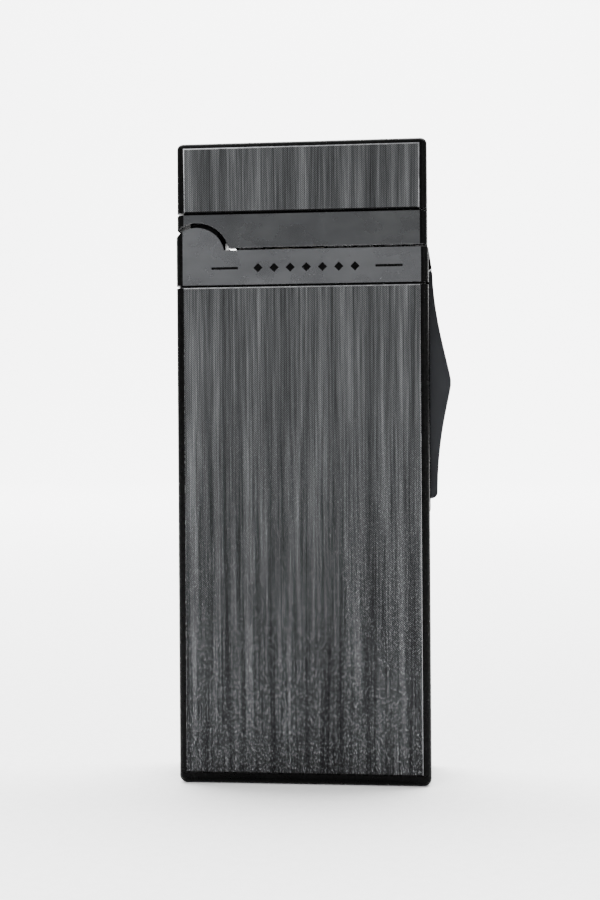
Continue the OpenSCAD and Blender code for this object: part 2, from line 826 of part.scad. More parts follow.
module gas_lever() {
    color("silver")
    translate([gas_x, 0, gas_z]) rotate([0, gas_half, 0]) difference() {
        union() {
            bar_y(0, 0, gas_pin_r + 0.55, -rail_out, rail_out);
            box([0, -rail_out, -0.3], [tip_arm, rail_out, 0.1]);
            bar_y(tip_arm, 0, tip_r, -rail_out, rail_out);
            bar_y(pad_arm, 0, pad_r, -rail_out, rail_out);
        }
        bar_y(0, 0, gas_pin_r + run, -far, far);
        box([-2, -rail_in, -2], [pad_arm + 1.1, rail_in, 2]);
    }
}

body_shell();
base_cap();
collar();
lever_bezel();
chassis();
piezo_cradle();
burner_deck();
deck_screws();
fuel_tank();
tank_closure();
filler_body();
filler_gasket();
filler_spring();
filler_seal();
adjuster_bush();
metering_disc();
dip_tube();
outlet_body();
outlet_gasket();
outlet_spring();
gas_hose();
jet_orifice();
burner_tube();
flame_nozzle();
burner_gauze();
spark_electrode();
spark_insulator();
ignition_wire();
piezo_case();
piezo_crystal();
piezo_spring();
hinge_pin();
lever_pin();
gas_lever_pin();
lid_cap();
lid_frame();
crank_pin();
side_lever();
carriage();
piezo_plunger();
piezo_hammer();
gas_lever();
outlet_stem();
filler_stem();
adjuster_screw();
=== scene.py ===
import json
import math

import bpy
from mathutils import Matrix, Vector


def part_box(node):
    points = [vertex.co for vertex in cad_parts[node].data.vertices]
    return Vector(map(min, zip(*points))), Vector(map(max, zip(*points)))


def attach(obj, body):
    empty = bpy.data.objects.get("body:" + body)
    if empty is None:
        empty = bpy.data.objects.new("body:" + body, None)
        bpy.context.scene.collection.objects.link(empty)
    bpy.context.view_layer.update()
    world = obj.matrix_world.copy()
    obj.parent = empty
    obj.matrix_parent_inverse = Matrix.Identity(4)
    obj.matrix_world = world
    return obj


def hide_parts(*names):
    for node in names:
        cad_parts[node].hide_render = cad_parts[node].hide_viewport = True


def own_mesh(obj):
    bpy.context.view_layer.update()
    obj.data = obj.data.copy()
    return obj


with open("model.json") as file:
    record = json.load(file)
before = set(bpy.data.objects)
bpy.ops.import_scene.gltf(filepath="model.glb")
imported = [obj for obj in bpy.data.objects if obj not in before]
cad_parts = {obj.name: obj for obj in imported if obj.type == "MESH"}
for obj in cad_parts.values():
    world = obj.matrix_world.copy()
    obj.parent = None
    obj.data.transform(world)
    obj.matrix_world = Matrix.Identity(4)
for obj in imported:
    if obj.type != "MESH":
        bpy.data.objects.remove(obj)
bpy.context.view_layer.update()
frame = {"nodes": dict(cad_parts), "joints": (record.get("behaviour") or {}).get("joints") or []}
nodes = frame["nodes"]
bpy.ops.object.select_all(action="DESELECT")

MM = 0.001

# ---- sizes in millimetres, read from the CAD nodes where a node shows them ----


def node_box(name):
    """Lowest and highest corner of a CAD node in millimetres."""
    low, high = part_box(name)
    return [v / MM for v in low], [v / MM for v in high]


shell_low, shell_high = node_box("body_shell")
cap_low, cap_high = node_box("lid_cap")
base_high = node_box("base_cap")[1]
bezel_high = node_box("lever_bezel")[1]
lever_low = node_box("side_lever")[0]
collar_high = node_box("collar")[1]
hinge = next(j for j in frame["joints"] if j["name"] == "lid_hinge")["pos_m"]
HINGE_X, HINGE_Z = hinge[0] / MM, hinge[2] / MM

# half width and half depth of the body, the roundings of its edges, and its sheet thickness
SIDE = shell_high[0]
FRONT = shell_high[1]
EDGE_R = 0.8
BASE_CORNER_R = 0.79
LID_CORNER_R = 0.6
WALL = 0.7
# hinge ears: radius, gap to the lid, and how far from the middle their inner faces stand
EAR_R = collar_high[2] - HINGE_Z
EAR_GAP = 0.55
EAR_IN = 4.3
# seam under the collar, groove under the lid cap, and gap under the lid
SEAM = 0.25
SEAM_IN = 0.35
GROOVE = 0.25
LID_GAP = 0.3
# heights
BASE_TOP = shell_low[2]
CASE_TOP = shell_high[2] + SEAM
COLLAR_TOP = bezel_high[2]
BAND_LOW = COLLAR_TOP + LID_GAP
BAND_TOP = cap_low[2] - GROOVE
LID_SIDE = cap_high[0]
LID_FRONT = cap_high[1]
LID_TOP = cap_high[2]
BEZEL_Y = bezel_high[1]
SLOT_LOW = lever_low[2] - 0.4
# small rounding of a sharp edge, and of a sheet edge beside a panel's rim
FINE = 0.07
SHEET_FINE = 0.02


# ---- modelling helpers: pieces are shaped in millimetres, and fit() brings them to metres ----


def activate(obj):
    bpy.ops.object.select_all(action="DESELECT")
    obj.select_set(True)
    bpy.context.view_layer.objects.active = obj


def settle(obj):
    """Applies an object's place, turn and size to its mesh."""
    activate(obj)
    bpy.ops.object.transform_apply(location=True, rotation=True, scale=True)


def box_piece(name, low, high):
    """A box between two corners."""
    bpy.ops.object.select_all(action="DESELECT")
    bpy.ops.mesh.primitive_cube_add(size=1, location=[(h + l) / 2 for l, h in zip(low, high)])
    obj = bpy.context.object
    obj.name = obj.data.name = name
    obj.scale = [h - l for l, h in zip(low, high)]
    settle(obj)
    return obj


def bar_piece(name, centre, radius, length, axis="Z", sides=96):
    """A round bar along an axis, centred on a point."""
    turn = {"Z": (0, 0, 0), "Y": (math.pi / 2, 0, 0), "X": (0, math.pi / 2, 0)}[axis]
    bpy.ops.object.select_all(action="DESELECT")
    bpy.ops.mesh.primitive_cylinder_add(
        vertices=sides, radius=radius, depth=length, location=centre, rotation=turn)
    obj = bpy.context.object
    obj.name = obj.data.name = name
    settle(obj)
    return obj


def clear_selection(mesh):
    for part in (mesh.vertices, mesh.edges, mesh.polygons):
        part.foreach_set("select", [False] * len(part))


def pick_edges(obj, test):
    """Selects the edges whose two ends pass the test, and opens edit mode."""
    activate(obj)
    mesh = obj.data
    clear_selection(mesh)
    for edge in mesh.edges:
        if test(*(mesh.vertices[i].co for i in edge.vertices)):
            edge.select = True
    bpy.context.tool_settings.mesh_select_mode = (False, True, False)
    bpy.ops.object.mode_set(mode="EDIT")


def pick_faces(obj, test):
    """Selects the faces whose centre and normal pass the test, and opens edit mode."""
    activate(obj)
    clear_selection(obj.data)
    for face in obj.data.polygons:
        face.select = test(face.center, face.normal)
    bpy.context.tool_settings.mesh_select_mode = (False, False, True)
    bpy.ops.object.mode_set(mode="EDIT")


def bevel_edges(obj, test, radius, steps):
    pick_edges(obj, test)
    bpy.ops.mesh.bevel(offset=radius, offset_type="OFFSET", segments=steps, profile=0.5, affect="EDGES")
    bpy.ops.object.mode_set(mode="OBJECT")


def delete_faces(obj, test):
    pick_faces(obj, test)
    bpy.ops.mesh.delete(type="FACE")
    bpy.ops.object.mode_set(mode="OBJECT")


def upright(a, b):
    """An edge that runs along Z."""
    return abs(a.x - b.x) < 1e-4 and abs(a.y - b.y) < 1e-4


def at_height(z):
    """A test for edges that lie at one height."""
    return lambda a, b: abs(a.z - z) < 1e-3 and abs(b.z - z) < 1e-3


def apply_modifier(obj, kind, **settings):
    activate(obj)
    modifier = obj.modifiers.new(kind.lower(), kind)
    for key, value in settings.items():
        setattr(modifier, key, value)
    bpy.ops.object.modifier_apply(modifier=modifier.name)


def combine(obj, tool, operation):
    """Cuts, joins or trims obj with tool, which is used up."""
    apply_modifier(obj, "BOOLEAN", object=tool, operation=operation, solver="EXACT")
    bpy.data.objects.remove(tool, do_unlink=True)


def tidy_mesh(obj):
    """Merges doubled points and dissolves the flat triangles that cuts leave."""
    activate(obj)
    bpy.ops.object.mode_set(mode="EDIT")
    bpy.ops.mesh.select_all(action="SELECT")
    bpy.ops.mesh.remove_doubles(threshold=0.002)
    bpy.ops.mesh.dissolve_limited(angle_limit=math.radians(0.4))
    bpy.ops.mesh.normals_make_consistent(inside=False)
    bpy.ops.object.mode_set(mode="OBJECT")


def soften(obj, radius=FINE, steps=2, angle=35):
    """Rounds every sharp edge a little, as a polished or tumbled part has it."""
    tidy_mesh(obj)
    if radius:
        apply_modifier(obj, "BEVEL", width=radius, segments=steps, limit_method="ANGLE",
                       angle_limit=math.radians(angle), use_clamp_overlap=True, miter_outer="MITER_ARC")
    activate(obj)
    bpy.ops.object.shade_smooth_by_angle(angle=math.radians(angle))
    apply_modifier(obj, "WEIGHTED_NORMAL", mode="FACE_AREA", weight=50, keep_sharp=True)


def rounded_block(name, low, high, radius, steps=10):
    """A box with its upright edges rounded."""
    obj = box_piece(name, low, high)
    bevel_edges(obj, upright, radius, steps)
    return obj


def copy_of(node, name):
    """A clean copy of a CAD node in millimetres, so that its edges can be softened."""
    obj = bpy.data.objects.new(name, nodes[node].data.copy())
    bpy.context.scene.collection.objects.link(obj)
    obj.data.name = name
    obj.data.materials.clear()
    obj.scale = (1 / MM,) * 3
    settle(obj)
    tidy_mesh(obj)
    return obj


def paint_faces(obj, test, index):
    """Gives the faces that pass the test the piece's material of that index."""
    for face in obj.data.polygons:
        if test(face.center, face.normal):
            face.material_index = index


def fit(obj, body, node, slot_name, *materials):
    """Brings a finished piece to metres and puts it on its body, for its CAD node, with its materials."""
    obj.scale = (MM,) * 3
    settle(obj)
    for material in materials:
        obj.data.materials.append(material)
    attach(obj, body)
    if node:
        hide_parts(node)
    bpy.ops.object.select_all(action="DESELECT")
    return obj


# ---- materials ----


def linear(hex_colour):
    """An sRGB hex colour as linear RGBA."""
    values = [int(hex_colour[i:i + 2], 16) / 255 for i in (1, 3, 5)]
    return [v / 12.92 if v <= 0.04045 else ((v + 0.055) / 1.055) ** 2.4 for v in values] + [1]


def add(tree, kind, links=None, **settings):
    """Adds a node with its settings; links maps an input to (node, output)."""
    node = tree.nodes.new(kind)
    for key, value in settings.items():
        if key.startswith("in_"):
            socket = key[3:].replace("_", " ")
            node.inputs[int(socket) if socket.isdigit() else socket].default_value = value
        else:
            setattr(node, key, value)
    for key, (source, output) in (links or {}).items():
        tree.links.new(source.outputs[output], node.inputs[key])
    return node


def new_material(name, **surface):
    """A material with a Principled shader; surface holds its own socket values."""
    material = bpy.data.materials.new(name)
    material.use_nodes = True
    tree = material.node_tree
    shader = tree.nodes["Principled BSDF"]
    for key, value in surface.items():
        shader.inputs[key.replace("_", " ")].default_value = value
    return material, tree, shader


def ramp(tree, source, output, stops):
    """A colour ramp over source with (place, hex colour) stops."""
    node = add(tree, "ShaderNodeValToRGB", {"Fac": (source, output)})
    elements = node.color_ramp.elements
    while len(elements) < len(stops):
        elements.new(0.5)
    for element, (place, colour) in zip(elements, stops):
        element.position = place
        element.color = linear(colour)
    return node


def object_place(tree, scale=(1, 1, 1), turn=(0, 0, 0)):
    """Object coordinates, stretched and turned."""
    place = add(tree, "ShaderNodeTexCoord")
    return add(tree, "ShaderNodeMapping", {"Vector": (place, "Object")}, in_Scale=scale, in_Rotation=turn)


def vary_roughness(tree, shader, scale, low, high, detail=4):
    """Roughness that wanders between two values, with patches of a size set by scale."""
    place = object_place(tree)
    noise = add(tree, "ShaderNodeTexNoise", {"Vector": (place, "Vector")}, in_Scale=scale, in_Detail=detail)
    spread = add(tree, "ShaderNodeMapRange", {"Value": (noise, "Fac")},
                 in_From_Min=0.3, in_From_Max=0.7, in_To_Min=low, in_To_Max=high)
    tree.links.new(spread.outputs["Result"], shader.inputs["Roughness"])
    return spread


def bump(tree, shader, source, output, strength, height):
    node = add(tree, "ShaderNodeBump", {"Height": (source, output)},
               in_Strength=strength, in_Distance=height * MM)
    tree.links.new(node.outputs["Normal"], shader.inputs["Normal"])
    return node


PER_MM = 1 / MM
RUB_SPACING = 0.16
# a band texture of this scale has bands one unit apart
WAVE_UNIT = 2 * math.pi / 20
# the flecks fade out from the foot up to this height
FLECK_LOW, FLECK_HIGH = 2, 46


def brushed_black_nickel():
    """Black nickel plate brushed along its height: the eye sees vertical streaks 0.2 to 1 mm wide,
    short scratches in them, a very fine slanted rub, and bright flecks towards the foot."""
    material, tree, shader = new_material("brushed_black_nickel_lacquered", Metallic=1.0)
    # streaks: a noise squeezed across the face and drawn out along its height
    wide = object_place(tree, (0.9 * PER_MM, 0.9 * PER_MM, 0.012 * PER_MM))
    streak = add(tree, "ShaderNodeTexNoise", {"Vector": (wide, "Vector")},
                 in_Scale=1, in_Detail=3, in_Roughness=0.6)
    thin = object_place(tree, (6 * PER_MM, 6 * PER_MM, 0.09 * PER_MM))
    scratch = add(tree, "ShaderNodeTexNoise", {"Vector": (thin, "Vector")},
                  in_Scale=1, in_Detail=4, in_Roughness=0.7)
    both = add(tree, "ShaderNodeMix", {"A": (streak, "Fac"), "B": (scratch, "Fac")},
               data_type="FLOAT", in_Factor=0.55)
    # slanted rub marks, 0.16 mm apart; the real ones are finer and wouldn't show
    slant = object_place(tree, (1, 1, 1), (0, math.radians(38), 0))
    rub = add(tree, "ShaderNodeTexWave", {"Vector": (slant, "Vector")},
              wave_type="BANDS", bands_direction="Z", in_Scale=WAVE_UNIT * PER_MM / RUB_SPACING,
              in_Distortion=1.5, in_Detail=2, in_Detail_Scale=2)
    marks = add(tree, "ShaderNodeMix", {"A": (both, "Result"), "B": (rub, "Fac")},
                data_type="FLOAT", in_Factor=0.16)
    # bright flecks, thicker towards the foot
    fleck_place = object_place(tree, (15 * PER_MM, 15 * PER_MM, 4.5 * PER_MM))
    fleck = add(tree, "ShaderNodeTexNoise", {"Vector": (fleck_place, "Vector")},
                in_Scale=1, in_Detail=4, in_Roughness=0.7)
    height = add(tree, "ShaderNodeSeparateXYZ", {"Vector": (object_place(tree, (PER_MM,) * 3), "Vector")})
    foot = add(tree, "ShaderNodeMapRange", {"Value": (height, "Z")},
               in_From_Min=FLECK_HIGH, in_From_Max=FLECK_LOW, in_To_Min=0.0, in_To_Max=0.58)
    speck = add(tree, "ShaderNodeMapRange", {"Value": (fleck, "Fac")}, in_From_Min=0.52, in_From_Max=0.74)
    amount = add(tree, "ShaderNodeMath", {0: (foot, "Result"), 1: (speck, "Result")}, operation="MULTIPLY")
    # the ground between the flecks darkens towards the foot
    worn = add(tree, "ShaderNodeMath", {0: (foot, "Result"), 2: (marks, "Result")},
               operation="MULTIPLY_ADD", in_1=-0.3)
    raised = add(tree, "ShaderNodeMath", {0: (worn, "Value"), 1: (amount, "Value")}, operation="ADD")
    colour = ramp(tree, raised, "Value",
                  [(0.32, "#131314"), (0.44, "#2e2f30"), (0.56, "#4c4d4e"), (0.78, "#8c8d8f")])
    tree.links.new(colour.outputs["Color"], shader.inputs["Base Color"])
    rough = add(tree, "ShaderNodeMapRange", {"Value": (both, "Result")},
                in_From_Min=0.3, in_From_Max=0.7, in_To_Min=0.42, in_To_Max=0.3)
    tree.links.new(rough.outputs["Result"], shader.inputs["Roughness"])
    bump(tree, shader, marks, "Result", 0.35, 0.02)
    return material


def satin_black_nickel(name, dark, light):
    """Black nickel plate with a fine satin polish: even grey sheen with faint cloudy wipe marks."""
    material, tree, shader = new_material(name, Metallic=1.0)
    place = object_place(tree, (0.12 * PER_MM, 0.12 * PER_MM, 0.3 * PER_MM))
    cloud = add(tree, "ShaderNodeTexNoise", {"Vector": (place, "Vector")}, in_Scale=1, in_Detail=3)
    colour = ramp(tree, cloud, "Fac", [(0.3, dark), (0.7, light)])
    tree.links.new(colour.outputs["Color"], shader.inputs["Base Color"])
    vary_roughness(tree, shader, 0.5 * PER_MM, 0.24, 0.32)
    grit = object_place(tree, (9 * PER_MM, 9 * PER_MM, 3 * PER_MM))
    fine = add(tree, "ShaderNodeTexNoise", {"Vector": (grit, "Vector")}, in_Scale=1, in_Detail=2)
    bump(tree, shader, fine, "Fac", 0.12, 0.004)
    return material


def make_shade_black():
    """Painted shade: deep black with very little shine over the edges and sides, standing in for the shade
    and dark reflections on the rounded edges and sides; it also colours the base cap, the lever bezel and the
    lid's hinge arms.
    """
    material, tree, shader = new_material(
        "black_painted_shade", Metallic=0.0, IOR=1.4, Specular_IOR_Level=0.05)
    place = object_place(tree)
    noise = add(tree, "ShaderNodeTexNoise", {"Vector": (place, "Vector")},
                in_Scale=0.6 * PER_MM, in_Detail=4)
    colour = ramp(tree, noise, "Fac", [(0.3, "#020202"), (0.7, "#050505")])
    tree.links.new(colour.outputs["Color"], shader.inputs["Base Color"])
    vary_roughness(tree, shader, 1.5 * PER_MM, 0.22, 0.34)
    return material


def lever_nickel():
    """Satin black nickel, darker and softer than the collar."""
    material, tree, shader = new_material("thumb_worn_black_nickel", Metallic=1.0)
    place = object_place(tree, (0.25 * PER_MM, 0.25 * PER_MM, 0.08 * PER_MM))
    cloud = add(tree, "ShaderNodeTexNoise", {"Vector": (place, "Vector")}, in_Scale=1, in_Detail=4)
    colour = ramp(tree, cloud, "Fac", [(0.3, "#222224"), (0.7, "#2a2b2d")])
    tree.links.new(colour.outputs["Color"], shader.inputs["Base Color"])
    vary_roughness(tree, shader, 0.8 * PER_MM, 0.3, 0.42)
    return material


def plain_metal(name, dark, light, rough, grain, lines=None):
    """A metal with a two-tone grain; lines squeezes the grain into turned or drawn lines."""
    material, tree, shader = new_material(name, Metallic=1.0)
    place = object_place(tree, [v * grain * PER_MM for v in (lines or (1, 1, 1))])
    noise = add(tree, "ShaderNodeTexNoise", {"Vector": (place, "Vector")}, in_Scale=1, in_Detail=5)
    colour = ramp(tree, noise, "Fac", [(0.3, dark), (0.7, light)])
    tree.links.new(colour.outputs["Color"], shader.inputs["Base Color"])
    vary_roughness(tree, shader, grain * PER_MM, rough[0], rough[1])
    bump(tree, shader, noise, "Fac", 0.15, 0.01)
    return material


def plain_plastic(name, dark, light, rough, grain, ior=1.5, **more):
    """A moulded or rubber surface with a faint mottled grain."""
    material, tree, shader = new_material(name, IOR=ior, **more)
    place = object_place(tree)
    noise = add(tree, "ShaderNodeTexNoise", {"Vector": (place, "Vector")},
                in_Scale=grain * PER_MM, in_Detail=5)
    colour = ramp(tree, noise, "Fac", [(0.3, dark), (0.7, light)])
    tree.links.new(colour.outputs["Color"], shader.inputs["Base Color"])
    vary_roughness(tree, shader, grain * PER_MM, rough[0], rough[1])
    bump(tree, shader, noise, "Fac", 0.2, 0.01)
    return material


brushed = brushed_black_nickel()
satin = satin_black_nickel("satin_black_nickel", "#4c4d4f", "#58595b")
# a darker copy of the collar's satin nickel for the lid band: painted shade
band_satin_shaded = satin_black_nickel("satin_black_nickel_shaded", "#3c3d3f", "#474849")
# black painted shade for the edges and sides of the outer pieces
shade_black = make_shade_black()
lever_metal = lever_nickel()
# painted highlight: a bright line on the rim round each panel, where the brushing stops, standing in for the
# glint on the rim's edge
edge_highlight = plain_metal("painted_edge_highlight", "#77787a", "#8e8f91", (0.2, 0.3), 1.5)
# zinc-plated stamped steel: dull grey with a cloudy spangle
zinc_steel = plain_metal("zinc_plated_stamped_steel", "#8d8f92", "#a6a8ab", (0.35, 0.5), 0.7)
# drawn stainless: bright, with fine lines along the draw
stainless = plain_metal("drawn_stainless_steel", "#b4b5b7", "#c9cacc", (0.18, 0.28), 2.5, (1, 1, 0.1))
# satin nickel deck: mid grey and soft, with faint cloudy marks from the flame
deck_nickel = plain_metal("satin_nickel_deck", "#5c5d60", "#6f7073", (0.35, 0.5), 1.2)
# heat-tinted stainless around the flame: straw and grey bands
flame_steel = plain_metal("heat_tinted_stainless", "#8f8578", "#b9b4ab", (0.25, 0.4), 0.8)
# turned brass: warm yellow with fine turning rings
brass = plain_metal("turned_brass", "#b48a4a", "#c9a25e", (0.2, 0.32), 3.0, (0.2, 0.2, 1))
# spring wire: oil-blacked steel
wire_steel = plain_metal("oiled_spring_wire", "#6f7072", "#8a8b8d", (0.3, 0.4), 2.0)
# acetal tank: milky, slightly glossy
acetal = plain_plastic("moulded_acetal_milky", "#c9cdd0", "#d6d9db", (0.3, 0.42), 0.5, 1.48)
# black nylon: matt with a fine spark-eroded grain
nylon = plain_plastic("moulded_black_nylon", "#141415", "#1d1d1e", (0.45, 0.6), 3.0, 1.53)
# nitrile rubber: dull black
nitrile = plain_plastic("nitrile_rubber", "#101011", "#181818", (0.6, 0.75), 4.0, 1.52)
# glazed alumina: off-white, smooth
alumina = plain_plastic("glazed_alumina", "#dcd7cc", "#e8e4da", (0.12, 0.2), 0.8, 1.7)
# silicone sleeve on the spark lead: red, soft sheen
silicone = plain_plastic("red_silicone_sleeve", "#7c1512", "#8e1c17", (0.4, 0.5), 1.0, 1.41)
# vinyl tube: cloudy
vinyl = plain_plastic("vinyl_tube", "#a9aaa6", "#b8b9b5", (0.3, 0.4), 1.0, 1.54)


# ---- outer pieces ----

# a length past every piece, for cutters
ABOVE = 20
# the rim round a brushed panel: its width, and how far the panel stands over the edge
RIM_W = 0.13
RIM_DROP = 0.05
# material slots of the pieces that paint_outside paints: black painted shade, the finished face, and a
# painted highlight
BLACK_SHADE, FACE, RIM_HIGHLIGHT = 0, 1, 2
EDGE_STEPS = 10
CORNER_STEPS = 8
ROUND_SIDES = 128


def raise_panels(obj):
    """Lifts the front and the back into flat panels with a narrow sloping rim."""
    pick_faces(obj, lambda c, n: abs(n.y) > 0.9995)
    bpy.ops.mesh.inset(thickness=RIM_W, depth=RIM_DROP, use_individual=True)
    bpy.ops.object.mode_set(mode="OBJECT")


def paint_outside(obj, front, rim=lambda n: True):
    """Black painted shade on the edges and sides, a finished face front and back, and a bright painted
    highlight where they meet, on the edges whose normal passes rim, that is the edges that face the light."""
    paint_faces(obj, lambda c, n: True, BLACK_SHADE)
    paint_faces(obj, lambda c, n: abs(n.y) > 0.999 and abs(c.y) > front - 0.01, FACE)
    paint_faces(obj, lambda c, n: 0.3 < abs(n.y) < 0.97 and abs(c.y) > front - RIM_DROP - 0.02
                and c.y * n.y > 0 and rim(n), RIM_HIGHLIGHT)


# lid cap: a drawn cap, hollow from below
lid_cap = box_piece("lid_cap_shell", [-LID_SIDE, RIM_DROP - LID_FRONT, cap_low[2]],
                    [LID_SIDE, LID_FRONT - RIM_DROP, LID_TOP])
bevel_edges(lid_cap, upright, EDGE_R, EDGE_STEPS)
bevel_edges(lid_cap, at_height(LID_TOP), LID_CORNER_R, CORNER_STEPS)
raise_panels(lid_cap)
delete_faces(lid_cap, lambda c, n: n.z < -0.9)
apply_modifier(lid_cap, "SOLIDIFY", thickness=WALL, offset=-1, use_even_offset=True)
soften(lid_cap, SHEET_FINE)
# painted highlight on the rim edges that don't face down; black painted shade on the cap's edges and sides
paint_outside(lid_cap, LID_FRONT, lambda n: n.z > -0.3)
fit(lid_cap, "lid", "lid_cap", "dark_nickel", shade_black, brushed, edge_highlight)


BAND_SIDE_WALL = 1.3
BAND_EAR_PLAY = 0.2
CORE_R = 0.5


def band_core():
    """The space inside the lid's band."""
    return rounded_block(
        "band_core", [-LID_SIDE + BAND_SIDE_WALL, -EAR_IN + BAND_EAR_PLAY, BAND_LOW - 1],
        [LID_SIDE - BAND_SIDE_WALL, EAR_IN - BAND_EAR_PLAY, BAND_TOP + 1], CORE_R)


# lid band: a rectangular ring whose lower left corners are cut round the ears
lid_band = rounded_block("lid_band_ring", [-LID_SIDE, -LID_FRONT, BAND_LOW],
                         [LID_SIDE, LID_FRONT, BAND_TOP], EDGE_R)
combine(lid_band, band_core(), "DIFFERENCE")
ear_cut = bar_piece("ear_cut", [HINGE_X, 0, HINGE_Z], EAR_R + EAR_GAP, ABOVE, "Y", ROUND_SIDES)
combine(lid_band, ear_cut, "DIFFERENCE")
soften(lid_band)
# painted highlight only on the band's lower edge; black painted shade on its edges and sides
paint_outside(lid_band, LID_FRONT, lambda n: n.z < -0.2)
fit(lid_band, "lid", "lid_frame", "polished_nickel", shade_black, band_satin_shaded, edge_highlight)

# the rest of the lid frame: spigot in the cap, hinge arms and left wall
lid_arms = copy_of("lid_frame", "lid_hinge_arms")
SKIN = 0.01
trim = rounded_block("trim", [-LID_SIDE - SKIN, -LID_FRONT - SKIN, BAND_LOW - SKIN],
                     [LID_SIDE + SKIN, LID_FRONT + SKIN, BAND_TOP + SKIN], EDGE_R)
combine(trim, band_core(), "DIFFERENCE")
combine(lid_arms, trim, "DIFFERENCE")
soften(lid_arms, 0.04)
fit(lid_arms, "lid", "lid_frame", "polished_nickel", shade_black)

# collar: one block cut down to a ring with two ears, then bored and engraved
EAR_ROOM = 6
CUT_ROOM = 9
NECK_DEPTH = 1.2
NECK_LAP = 0.5
COLLAR_WALL = 1
COLLAR_INSIDE = 3
POCKET_DROP = 2.45
BEZEL_PLAY = 0.05
PIN_BORE_R = 0.61
PIN_BORE_LENGTH = 9.72
collar = rounded_block("collar_ring", [-SIDE, -FRONT, CASE_TOP], [SIDE, FRONT, COLLAR_TOP + EAR_ROOM], EDGE_R)
cutter = box_piece("over_collar", [-ABOVE, -ABOVE, COLLAR_TOP], [ABOVE, ABOVE, COLLAR_TOP + CUT_ROOM])
ear = bar_piece("ear", [HINGE_X, 0, HINGE_Z], EAR_R, 3 * ABOVE, "Y", ROUND_SIDES)
combine(cutter, ear, "DIFFERENCE")
combine(collar, cutter, "DIFFERENCE")
neck = rounded_block("neck", [-SIDE + SEAM_IN, -FRONT + SEAM_IN, CASE_TOP - SEAM - NECK_DEPTH],
                     [SIDE - SEAM_IN, FRONT - SEAM_IN, CASE_TOP + NECK_LAP], EDGE_R - SEAM_IN)
combine(collar, neck, "UNION")
for name, low, high in (
        ("inside", [-SIDE + COLLAR_WALL, -EAR_IN, CASE_TOP - COLLAR_INSIDE],
         [SIDE - COLLAR_WALL, EAR_IN, COLLAR_TOP + CUT_ROOM]),
        ("pocket", [-SIDE - 1, -EAR_IN, HINGE_Z - POCKET_DROP], [HINGE_X, EAR_IN, COLLAR_TOP + CUT_ROOM]),
        ("bezel_slot", [SIDE - COLLAR_INSIDE, -BEZEL_Y - BEZEL_PLAY, CASE_TOP - COLLAR_INSIDE],
         [SIDE + 1, BEZEL_Y + BEZEL_PLAY, COLLAR_TOP + 1])):
    combine(collar, box_piece(name, low, high), "DIFFERENCE")
pin_bore = bar_piece("pin_bore", [HINGE_X, 0, HINGE_Z], PIN_BORE_R, PIN_BORE_LENGTH, "Y", 48)
combine(collar, pin_bore, "DIFFERENCE")

# plain engraving: two lines with a row of lozenges between them
ENGRAVE_Z = CASE_TOP + (COLLAR_TOP - CASE_TOP) * 0.48
ENGRAVE_X = 0.6
ENGRAVE_DEPTH = 0.15
LINE_X = 8.9
LINE_HALF = 1.45
LINE_HALF_W = 0.13
LOZENGE_STEP = 1.75
LOZENGE_R = 0.5
for side in (-1, 1):
    middle = side * LINE_X + ENGRAVE_X
    line = box_piece("dash", [middle - LINE_HALF, -FRONT - 1, ENGRAVE_Z - LINE_HALF_W],
                     [middle + LINE_HALF, -FRONT + ENGRAVE_DEPTH, ENGRAVE_Z + LINE_HALF_W])
    combine(collar, line, "DIFFERENCE")
for i in range(-3, 4):
    place = [i * LOZENGE_STEP + ENGRAVE_X, -FRONT, ENGRAVE_Z]
    combine(collar, bar_piece("lozenge", place, LOZENGE_R, 2 * ENGRAVE_DEPTH, "Y", 4), "DIFFERENCE")
soften(collar)
# painted highlight only on the collar's upper edge; black painted shade on its edges and sides
paint_outside(collar, FRONT, lambda n: n.z > 0.2)
fit(collar, "case", "collar", "polished_nickel", shade_black, satin, edge_highlight)

# body shell: a drawn tube with the slot for the lever's bezel
SLOT_DROP = 1.15
shell = rounded_block("body_shell_tube", [-SIDE, RIM_DROP - FRONT, BASE_TOP],
                      [SIDE, FRONT - RIM_DROP, CASE_TOP - SEAM], EDGE_R)
raise_panels(shell)
delete_faces(shell, lambda c, n: abs(n.z) > 0.9)
apply_modifier(shell, "SOLIDIFY", thickness=WALL, offset=-1, use_even_offset=True)
slot = box_piece("slot", [SIDE - 2, -BEZEL_Y - BEZEL_PLAY, SLOT_LOW - SLOT_DROP],
                 [SIDE + 1, BEZEL_Y + BEZEL_PLAY, CASE_TOP + 1])
combine(shell, slot, "DIFFERENCE")
soften(shell, SHEET_FINE)
# painted highlight on the rim edges that don't face down; black painted shade on the tube's edges and sides
paint_outside(shell, FRONT, lambda n: n.z > -0.3)
fit(shell, "case", "body_shell", "dark_nickel", shade_black, brushed, edge_highlight)

# base cap: visible band with rounded corners, and the plug inside the shell
PLUG_PLAY = 0.05
PLUG_LAP = 0.2
FILLER_HOLE_R = 2.3
ADJUSTER_HOLE_R = 1.6
BUSH_HOLE_R = 2.0
BUSH_Z = 1.7
HOLE_LENGTH = 6
base = box_piece("base_cap_band", [-SIDE, -FRONT, 0], [SIDE, FRONT, BASE_TOP])
bevel_edges(base, upright, EDGE_R, EDGE_STEPS)
bevel_edges(base, at_height(0), BASE_CORNER_R, CORNER_STEPS)
plug = rounded_block("plug", [-SIDE + WALL + PLUG_PLAY, -FRONT + WALL + PLUG_PLAY, BASE_TOP - PLUG_LAP],
                     [SIDE - WALL - PLUG_PLAY, FRONT - WALL - PLUG_PLAY, base_high[2]], EDGE_R - WALL, 3)
combine(base, plug, "UNION")
filler_x = sum(v[0] for v in node_box("filler_body")) / 2
burner_x = sum(v[0] for v in node_box("adjuster_screw")) / 2
